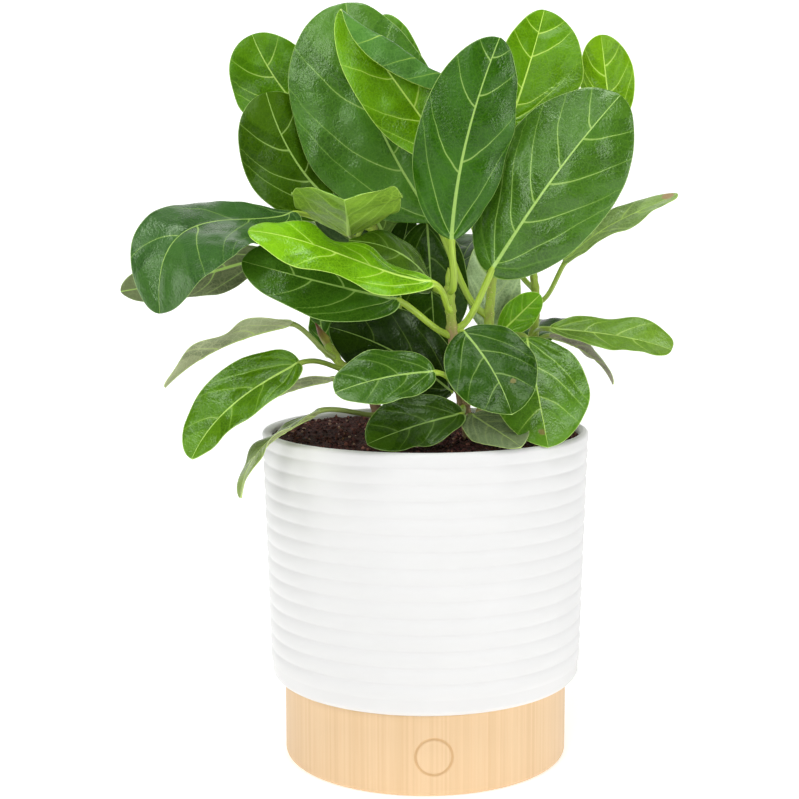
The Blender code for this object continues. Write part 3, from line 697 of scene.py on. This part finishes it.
def potting_soil():
    """A crumbly disc with loose crumbs and a few pale bits lying on it."""
    rim = POT_RIM_RADIUS - POT_WALL - .0001

    def rise(x, y, octaves):
        return SOIL_CROWN*(1 - (x*x + y*y)/rim**2) - SOIL_SINK + ripple(x, y, 4, octaves)

    radii = np.sqrt(np.linspace(0, 1, SOIL_RINGS + 1)[1:])*rim
    profile = [(0, SOIL_EDGE)] + [(radius, SOIL_EDGE) for radius in radii]
    profile += [(rim, SOIL_EDGE - SOIL_DEPTH), (0, SOIL_EDGE - SOIL_DEPTH)]
    vertices, faces = turned(profile, around(SOIL_SEGMENTS))
    top = vertices[:, 2] > SOIL_EDGE - .001
    vertices[top, 2] += rise(vertices[top, 0], vertices[top, 1], SOIL_RIPPLES)
    parts, grains = [vertices], [np.zeros((len(vertices), 3))]
    random = np.random.default_rng(11)
    ball = bmesh.new()
    bmesh.ops.create_icosphere(ball, subdivisions=1, radius=1)
    points = np.array([v.co for v in ball.verts])
    corners = np.array([[v.index for v in face.verts] for face in ball.faces])
    ball.free()
    count = len(vertices)
    for _ in range(CRUMBS):
        distance, turn = rim*.985*np.sqrt(random.uniform()), random.uniform(0, 2*pi)
        size = random.uniform(*CRUMB_SIZES)
        lumps = 1 + random.uniform(-.35, .35, (len(points), 1))
        stretch = random.uniform(.6, 1.4, 3)
        centre = np.array([distance*cos(turn), distance*sin(turn), 0])
        centre[2] = SOIL_EDGE + rise(centre[:1], centre[1:2], SOIL_RIPPLES[:2])[0] + size*.25
        parts.append(points*lumps*stretch*size + centre)
        grains.append(np.full((len(points), 3), random.uniform()))
        faces += (corners + count).tolist()
        count += len(points)
    return show("soil", np.vstack(parts), faces, [soil_material()], {"grain": np.vstack(grains)})


# Curves

def tangents_of(points):
    steps = np.gradient(points, axis=0)
    return steps/np.linalg.norm(steps, axis=1)[:, None]


def carried(normal, tangents):
    """The normal carried along the tangents without spin."""
    out = []
    for tangent in tangents:
        normal = unit(normal - tangent*(normal @ tangent))
        out.append(normal)
    return np.array(out)


def between(place, known, vectors):
    """The vector at a place, between those at the known places."""
    return np.stack([np.interp(place, known, vectors[:, axis]) for axis in range(3)], -1)


def smooth_route(points, steps):
    """A smooth curve through every point, as a list of closer points."""
    points = [np.array(p, float) for p in points]
    ends = [2*points[0] - points[1]] + points + [2*points[-1] - points[-2]]
    route = []
    for a, b, c, d in zip(ends, ends[1:], ends[2:], ends[3:]):
        for t in np.arange(steps)/steps:
            route.append(0.5*(2*b + (c - a)*t + (2*a - 5*b + 4*c - d)*t**2
                              + (3*b - a - 3*c + d)*t**3))
    route.append(points[-1])
    return np.array(route)


def bezier(points, t):
    a, b, c, d = points
    t = t[:, None]
    return (1 - t)**3*a + 3*(1 - t)**2*t*b + 3*(1 - t)*t*t*c + t**3*d


def lofted(name, route, radii, material, wobble, seed):
    """A closed tube along a route, from the radii of each ring's points."""
    tangents = tangents_of(route)
    side = carried(np.array([1.0, .1, .05]), tangents)
    other = np.cross(tangents, side)
    angles = around(radii.shape[1])
    length = np.concatenate([[0], np.cumsum(np.linalg.norm(np.diff(route, axis=0), axis=1))])
    spread = ripple(np.cos(angles)[None, :]*.002 + 0*length[:, None],
                    length[:, None] + np.sin(angles)[None, :]*.002, seed, ((.006, 1), (.0025, .6)))
    reach = radii*(1 + wobble*spread)
    rings = (route[:, None] + side[:, None]*(np.cos(angles)*reach)[..., None]
             + other[:, None]*(np.sin(angles)*reach)[..., None])
    spot = np.stack(np.broadcast_arrays(angles*radii.mean(), length[:, None], seed*.1), -1)
    vertices = np.vstack([rings.reshape(-1, 3), route[:1], route[-1:]])
    spots = np.vstack([spot.reshape(-1, 3), [0, 0, 0], [0, length[-1], 0]])
    return show(name, vertices, closed_faces(*radii.shape), [material], {"spot": spots})


# Stems and buds

def stem_at(name, height):
    """The stem's centre, direction and radius at a height."""
    points, bottom, top, *_ = STEMS[name]
    route = smooth_route(points, 2)
    heights = route[:, 2]
    way = between(height, heights, np.gradient(route, axis=0))
    radius = np.interp(height, heights, np.linspace(bottom, top, len(route)))
    return between(height, heights, route), unit(way), radius


def stem(name, seed, material):
    """A stem with a swollen ring wherever a leaf leaves it, and old rings between."""
    points, bottom, top, *_ = STEMS[name]
    route = smooth_route(points, 24)
    radii = np.concatenate([np.full(FOOT_ROWS, bottom*1.04), np.linspace(bottom, top, len(route))])
    foot = np.tile(route[0], (FOOT_ROWS, 1))
    foot[:, 2] = np.linspace(SOIL_EDGE - STEM_ROOT, route[0, 2], FOOT_ROWS, endpoint=False)
    route = np.vstack([foot, route])
    heights = route[:, 2]
    joints = [shape.height for shape in LEAVES.values() if shape.stem == name]
    old = np.random.default_rng(seed).uniform(.165, heights[-1] - .01, 7)
    for places, (swell, spread) in ((joints, JOINT_SWELL), (old, OLD_RING_SWELL)):
        for height in places:
            radii = radii + swell*np.exp(-((heights - height)/spread)**2)
    radii[-3:] *= (.95, .8, .45)
    radii = np.tile(radii[:, None], STEM_SIDES)
    return lofted(f"stem_{name}_bark", route, radii, material, .035, seed)


def bud(name, stem_name, lengths, radii, material):
    """A pointed bud of wrapped scales, carrying on from the end of a stem."""
    end, way, _ = stem_at(stem_name, STEMS[stem_name][0][-1][2])
    shares = np.linspace(0, 1, 40)
    along = shares*lengths[-1]
    route = end + way*(along - .001)[:, None]
    scales = 1 + .1*np.sin(3*around(24)[None, :] + 9*shares[:, None])
    return lofted(name, route, np.interp(along, lengths, radii)[:, None]*scales, material, 0, 3)


# Leaves

def midrib(shape):
    """The midrib's points, tangents, upward normals and left-hand vectors, and its length."""
    base, tip = np.array(shape.base), np.array(shape.tip)
    chord = tip - base
    length = np.linalg.norm(chord)
    along = chord/length
    face = np.array(shape.face, float)
    face = unit(face - along*(face @ along))
    left = np.cross(face, along)
    bends = [length*(face*rise + left*lean) for rise, lean in zip(shape.rise, shape.lean)]
    points = bezier([base, base + chord/3 + bends[0], base + chord*2/3 + bends[1], tip],
                    np.linspace(0, 1, MIDRIB_POINTS))
    tangents = tangents_of(points)
    middle = MIDRIB_POINTS//2
    up = np.empty_like(points)
    up[middle:] = carried(face, tangents[middle:])
    up[:middle + 1] = carried(face, tangents[middle::-1])[::-1]
    length = np.linalg.norm(np.diff(points, axis=0), axis=1).sum()
    return points, tangents, up, np.cross(up, tangents), length


def folded(along, across, lift, fold, length):
    """The flat blade turned up and over past a crease: (place on midrib, angle, turn, radius)."""
    at, angle, turn, radius = fold
    out = (sin(radians(angle)), -cos(radians(angle)))
    turn = radians(turn)
    past = (along - at*length)*out[0] + across*out[1]
    bent = np.clip(past/radius, 0, turn)
    straight = np.maximum(past - radius*turn, 0)
    reach = np.where(past > 0, radius*np.sin(bent) + straight*cos(turn), past)
    height = np.where(past > 0, radius*(1 - np.cos(bent)) + straight*sin(turn), 0)
    lift = lift*np.where(past > 0, np.cos(bent), 1) + height
    return along + (reach - past)*out[0], across + (reach - past)*out[1], lift


def waves_of(random):
    """Slow waves along each edge of a blade: 0 up and down, 1 in and out."""
    turns = random.uniform(1.4, 2.9, (2, 2))
    shifts = random.uniform(0, 2*pi, (2, 2))

    def waves(s, t, kind):
        side = (t > 0).astype(int)
        return np.sin(2*pi*turns[kind][side]*s + shifts[kind][side])
    return waves


def blade(shape, s, t, waves):
    """The blade's middle surface, its flat places out from the midrib and along it, and its size.

    s runs from the base to the tip, and t from the left edge, -1, to the right edge, 1.
    """
    points, tangents, up, left, length = midrib(shape)
    s, t = np.meshgrid(s, t, indexing="ij")
    half = shape.width*length/2*np.sin(pi*s**shape.belly).clip(0)**shape.roundness
    half = np.maximum(half, shape.stalk*(1 - s) + RIB_TIP_RADIUS*s)
    on_left = t < 0
    out = abs(t)
    half = half*np.where(on_left, *shape.sides)*(1 + EDGE_WOBBLE*waves(s, t, 1)*np.sin(pi*s))
    cup = np.radians(np.where(on_left, *shape.cup))
    curl = np.radians(np.where(on_left, *shape.curl)) + 1e-5
    across = half*(np.sin(cup + curl*out) - np.sin(cup))/curl*np.where(on_left, 1, -1)
    lift = half*(np.cos(cup) - np.cos(cup + curl*out))/curl
    along = length*(s - shape.lobe*out**2*(1 - s)**4)
    flat = np.stack([half*t, along, 0*s], -1)
    lift = lift + waves(s, t, 0)*shape.wave*out**2*np.sin(pi*s) - shape.nod*length*s**3
    if shape.fold:
        along, across, lift = folded(along, across, lift, shape.fold, length)
    share = np.clip(along/length, 0, 1)
    beyond, across, lift = [v[..., None] for v in (along - share*length, across, lift)]
    known = np.linspace(0, 1, MIDRIB_POINTS)
    centre, ahead, left, up = [between(share, known, v) for v in (points, tangents, left, up)]
    return centre + ahead*beyond + left*across + up*lift, flat, half, length


def grid_normals(grid):
    """Upward normals of a blade's grid of points."""
    normals = np.cross(np.gradient(grid, axis=1), np.gradient(grid, axis=0))
    return normals/np.maximum(np.linalg.norm(normals, axis=-1), 1e-12)[..., None]


def side_veins(starts, out, along, length, widest, random):
    """Each point's place among the side veins, whole on a vein, and the gap between them there.

    A side vein leaves the midrib steeply, bends towards the tip at once, and curves on to the
    edge. The two lowest start together at the base.
    """
    along = along + ripple(out, along, random.integers(1000), ((.022, .00045), (.008, .0001)))
    starts = np.array([0, .012, *starts])
    count = len(starts)
    lateral = count - 2
    basal = np.degrees(np.arctan2(widest, .44*length))
    leaving = np.radians([78, basal + 8] + [74]*lateral)
    running = np.radians([basal + 30, basal]
                         + [max(50 - 2*i, basal + 11 - i) for i in range(lateral)])
    running = running*random.uniform(.95, 1.05, count)
    hooks = np.array([.002, .004] + [.0028]*lateral)
    bends = random.uniform(.66, .78, count)/widest
    lines = np.stack([
        start*length + out/np.tan(leave)
        + (1/np.tan(run) - 1/np.tan(leave))*(out - hook*(1 - np.exp(-out/hook))) + bend*out**2
        for start, leave, run, hook, bend in zip(starts, leaving, running, hooks, bends)])
    first, last = lines[:1] - .16*length, lines[-1:] + .22*length
    lines = np.maximum.accumulate(np.concatenate([first, lines, last]) +
                                  np.arange(count + 2)[:, None, None]*1e-5)
    steps = np.maximum(np.diff(lines, axis=0), 1e-6)
    pitch = np.concatenate([steps[:1], (steps[1:] + steps[:-1])/2, steps[-1:]])
    place = np.full(out.shape, -.5)
    gap = pitch[0].copy()
    for i, step in enumerate(steps):
        share = (along - lines[i])/step
        inside = (share >= 0) & (share < 1)
        eased = (share**2*(3 - 2*share) + step/pitch[i]*share*(1 - share)**2
                 - step/pitch[i + 1]*share**2*(1 - share))
        place[inside] = (i - 1 + eased)[inside]
        gap[inside] = (pitch[i]*(1 - share) + pitch[i + 1]*share)[inside]
    place[along >= lines[-1]] = count - .5
    place = np.clip(place, -.5, count - .5)
    slant = np.interp(place, np.arange(count), np.sin(running*.85))
    return place, gap*slant


def ring_of(top, bottom):
    """Rows of points over the top and back along the bottom, as closed rings."""
    return np.concatenate([top, bottom[:, -2:0:-1]], axis=1)


def stalk_route(shape):
    """The stalk's centre line from inside the stem to the blade, and its tangents."""
    heart, way, radius = stem_at(shape.stem, shape.height)
    end = np.array(shape.base)
    blade_way = midrib(shape)[1][0]
    outward = end - heart
    distance = np.linalg.norm(outward)
    outward = unit(outward - way*(outward @ way))
    leave = unit(outward + way*.45)
    start = heart + outward*(radius + GAP + shape.stalk*.5)
    points = bezier([start, start + leave*distance*.22, end - blade_way*distance*.22, end],
                    np.linspace(0, 1, STALK_POINTS))
    points = np.vstack([heart - way*radius, points])
    return points, tangents_of(points)


def stalk_rings(shape, t, seed):
    """The stalk's rings of points, set out as the blade's are, and their flat places."""
    points, tangents = [values[:-1] for values in stalk_route(shape)]
    ups = carried(midrib(shape)[2][0], tangents[::-1])[::-1]
    rights = np.cross(tangents, ups)
    shares = np.linspace(0, 1, len(points))
    radii = shape.stalk*(1 + .22*np.exp(-(shares/.1)**2) + .1*np.exp(-((1 - shares)/.08)**2))
    high = np.sqrt(np.clip(1 - t**2, 0, 1))
    circle = ring_of(np.stack([t, high], -1)[None], np.stack([t, -high], -1)[None])[0]
    rings = (points[:, None] + rights[:, None]*(circle[:, 0]*radii[:, None])[..., None]
             + ups[:, None]*(circle[:, 1]*radii[:, None])[..., None])
    length = np.linalg.norm(points[-1] - points[0])
    turn = np.arctan2(circle[:, 1], circle[:, 0])
    spot = np.broadcast_arrays(turn*shape.stalk, ((shares - 1)*length)[:, None], seed*.07)
    return rings, np.stack(spot, -1)


def blade_lifts(shape, s, t, rib, out, edge, place, gap, taper):
    """How far the upper side and underside stand off the blade's middle surface."""
    vein_distance = abs(place - np.round(place))*gap
    groove = np.exp(-(vein_distance/VEIN_REACH)**2)*taper*np.clip(edge/.003, 0, 1)
    sag = np.cos(2*pi*place)*np.clip(edge/.006, 0, 1)*np.clip(out/.004, 0, 1)
    hill = np.exp(-(out/(rib*.9))**2)
    thin = BLADE_THICKNESS/2*np.sqrt(np.clip(1 - t**6, 0, 1))[None, :]
    upper = thin - VEIN_GROOVE*groove + .1*rib*hill - QUILTING*sag
    lower = thin + VEIN_RIDGE*groove + .95*rib*hill + QUILTING*sag*(1 - abs(t)**6)
    round_share = np.clip(1 - s/.07, 0, 1)[:, None]**2
    disc = shape.stalk*np.sqrt(np.clip(1 - t**2, 0, 1))[None, :]
    upper, lower = [lift*(1 - round_share) + disc*round_share for lift in (upper, lower)]
    upper[:, [0, -1]] = 0
    return upper[..., None], lower[..., None]


def fine_leaf(name, shape, seed, materials):
    """A leaf as one closed mesh: round stalk, then a thin blade with its ribs raised below."""
    rows, columns = MESH_SIZES[shape.size]
    random = np.random.default_rng(seed)
    s = (1 - np.cos(pi*np.linspace(0, 1, rows)))/2
    u = np.linspace(-1, 1, columns)
    t = np.sign(u)*abs(u)**1.35
    t[[1, -2]] = -.985, .985
    grid, flat, half, length = blade(shape, s, t, waves_of(random))
    widest = half.max()
    out = abs(flat[..., 0])
    edge = half - out
    sets = [side_veins(starts, out, flat[..., 1], length, widest, random)
            for starts in shape.veins]
    place, gap = [np.where(t < 0, *pair) for pair in zip(*sets)]
    taper = np.clip(edge/(widest*.8), .35, 1)
    rib = (shape.stalk*(1 - s)**1.1 + RIB_TIP_RADIUS)[:, None]

    dents = ripple(flat[..., 0], flat[..., 1], seed, ((.024, .00055), (.011, .00018)))
    dents = dents*np.clip(out/.006, 0, 1)*np.clip(s[:, None]/.15, 0, 1)
    grid = grid + grid_normals(grid)*dents[..., None]
    normals = grid_normals(grid)
    upper, lower = blade_lifts(shape, s, t, rib, out, edge, place, gap, taper)
    rings = ring_of(grid + normals*upper, grid - normals*lower)
    stalk, stalk_spot = stalk_rings(shape, t, seed)
    rings = np.concatenate([stalk, rings])
    total, count = rings.shape[:2]

    def spread(values):
        """A blade's values carried to its rings, with none on the stalk."""
        return np.concatenate([np.zeros_like(stalk_spot), ring_of(values, values)])

    flat[..., 2] = seed*.07
    share = np.stack([np.broadcast_to(t, out.shape), edge, 0*edge], -1)
    attributes = {"spot": np.concatenate([stalk_spot, ring_of(flat, flat)]),
                  "share": spread(share)}
    wide = VEIN_WIDTH*(.45 + .75*taper)
    for side, (where, spacing) in zip(("left", "right"), sets):
        attributes[side] = spread(np.stack([where, spacing/wide, flat[..., 0]/(rib*.43)], -1))
    attributes = {key: np.vstack([v.reshape(-1, 3), v[0, 0], v[-1, 0]])
                  for key, v in attributes.items()}
    vertices = np.vstack([rings.reshape(-1, 3), rings[0].mean(0), rings[-1].mean(0)])
    kind = np.where(np.arange(count) < columns - 1, UPPER, UNDER)
    kinds = np.tile(kind, (total - 1, 1))
    kinds[:len(stalk)] = STALK
    caps = np.stack([np.full(count, STALK), kind], -1)
    return show("blade_" + name, vertices, closed_faces(total, count), materials, attributes,
                np.concatenate([kinds.ravel(), caps.ravel()]))


def all_leaves():
    stalks = {tone: stalk_material("stalk_" + tone, screen(*colours[3]))
              for tone, colours in TONES.items()}
    known = {}

    def side(tone, colour, upper, *details):
        """The material of one side, shared by the leaves that look the same."""
        key = (tone, colour, upper, *details)
        if key not in known:
            name = f"{'upper' if upper else 'under'}_{tone}_{len(known)}"
            vein = toned(screen(*TONES[tone][2]), .5 + .5*min(1, colour[1]/120))
            known[key] = blade_material(name, screen(*colour), vein, upper, *details)
        return known[key]

    for seed, (name, shape) in enumerate(LEAVES.items(), 1):
        tone, looks = shape.tone, (shape.gloss, shape.scar)
        upper = side(tone, shape.colour or TONES[tone][0], True, shape.clear, *looks)
        under = side(tone, shape.under or TONES[tone][1], bool(shape.fold), .8, *looks)
        dress(fine_leaf(name, shape, seed, [upper, under, stalks[tone]]),
              "leaf_" + (shape.slot or tone), "leaf_" + name)


# Studio

def studio():
    """A pale floor that rises behind the plant, white all round it, and soft lights."""
    profile = [(-1.6, 0)] + [(.75 + .45*sin(a), .45 - .45*cos(a))
                             for a in np.linspace(0, pi/2, 24)] + [(1.2, 2.4)]
    vertices = [(x, y, z) for y, z in profile for x in (-2.6, 2.6)]
    faces = [[2*i, 2*i + 1, 2*i + 3, 2*i + 2] for i in range(len(profile) - 1)]
    show("floor", vertices, faces, [studio_material("studio_white", .1, .86, .46)])
    wall = [(r*cos(a), r*sin(a), z) for r, z in (BACKDROP_FOOT, BACKDROP_TOP) for a in around(96)]
    backdrop = show("backdrop", wall, ring_faces(2, 96),
                    [studio_material("backdrop_white", 0, .9, .95)])
    backdrop.visible_diffuse = backdrop.visible_glossy = backdrop.visible_shadow = False

    world = bpy.data.worlds.new("studio")
    world.use_nodes = True
    glow = world.node_tree.nodes["Background"].inputs
    glow["Color"].default_value, glow["Strength"].default_value = (1, 1, 1, 1), WORLD_LIGHT
    bpy.context.scene.world = world
    for name, (place, target, size, power) in LAMPS.items():
        lamp = bpy.data.lights.new(name, "AREA")
        lamp.shape = "RECTANGLE"
        lamp.size, lamp.size_y = size
        lamp.energy = power
        way = Vector(target) - Vector(place)
        put(name, lamp, place, way.to_track_quat("-Z", "Y").to_euler())


def camera():
    lens = bpy.data.cameras.new("camera")
    lens.lens = LENS_MM
    lens.shift_x = LENS_SHIFT
    turn = (pi/2 - radians(CAMERA_TILT), 0, 0)
    bpy.context.scene.camera = put("camera", lens, CAMERA_PLACE, turn)


def main():
    bpy.context.scene.view_settings.view_transform = "Standard"
    dress(white_pot(), "white_glaze", "white_pot")
    dress(wood_base(), "light_wood", "wood_base")
    dress(potting_soil(), "soil", "potting_soil")
    for seed, (name, (*_, foot, start, end)) in enumerate(STEMS.items(), 1):
        bark = bark_material(f"stem_{name}_bark", screen(*foot), start, end)
        dress(stem(name, seed, bark), "bark", "stem_" + name)
    for name, (node, stem_name, lengths, radii, look, low, high) in BUDS.items():
        material = bud_material(look, screen(*low), screen(*high))
        dress(bud(name, stem_name, lengths, radii, material), "bud", node)
    all_leaves()
    studio()
    camera()


main()
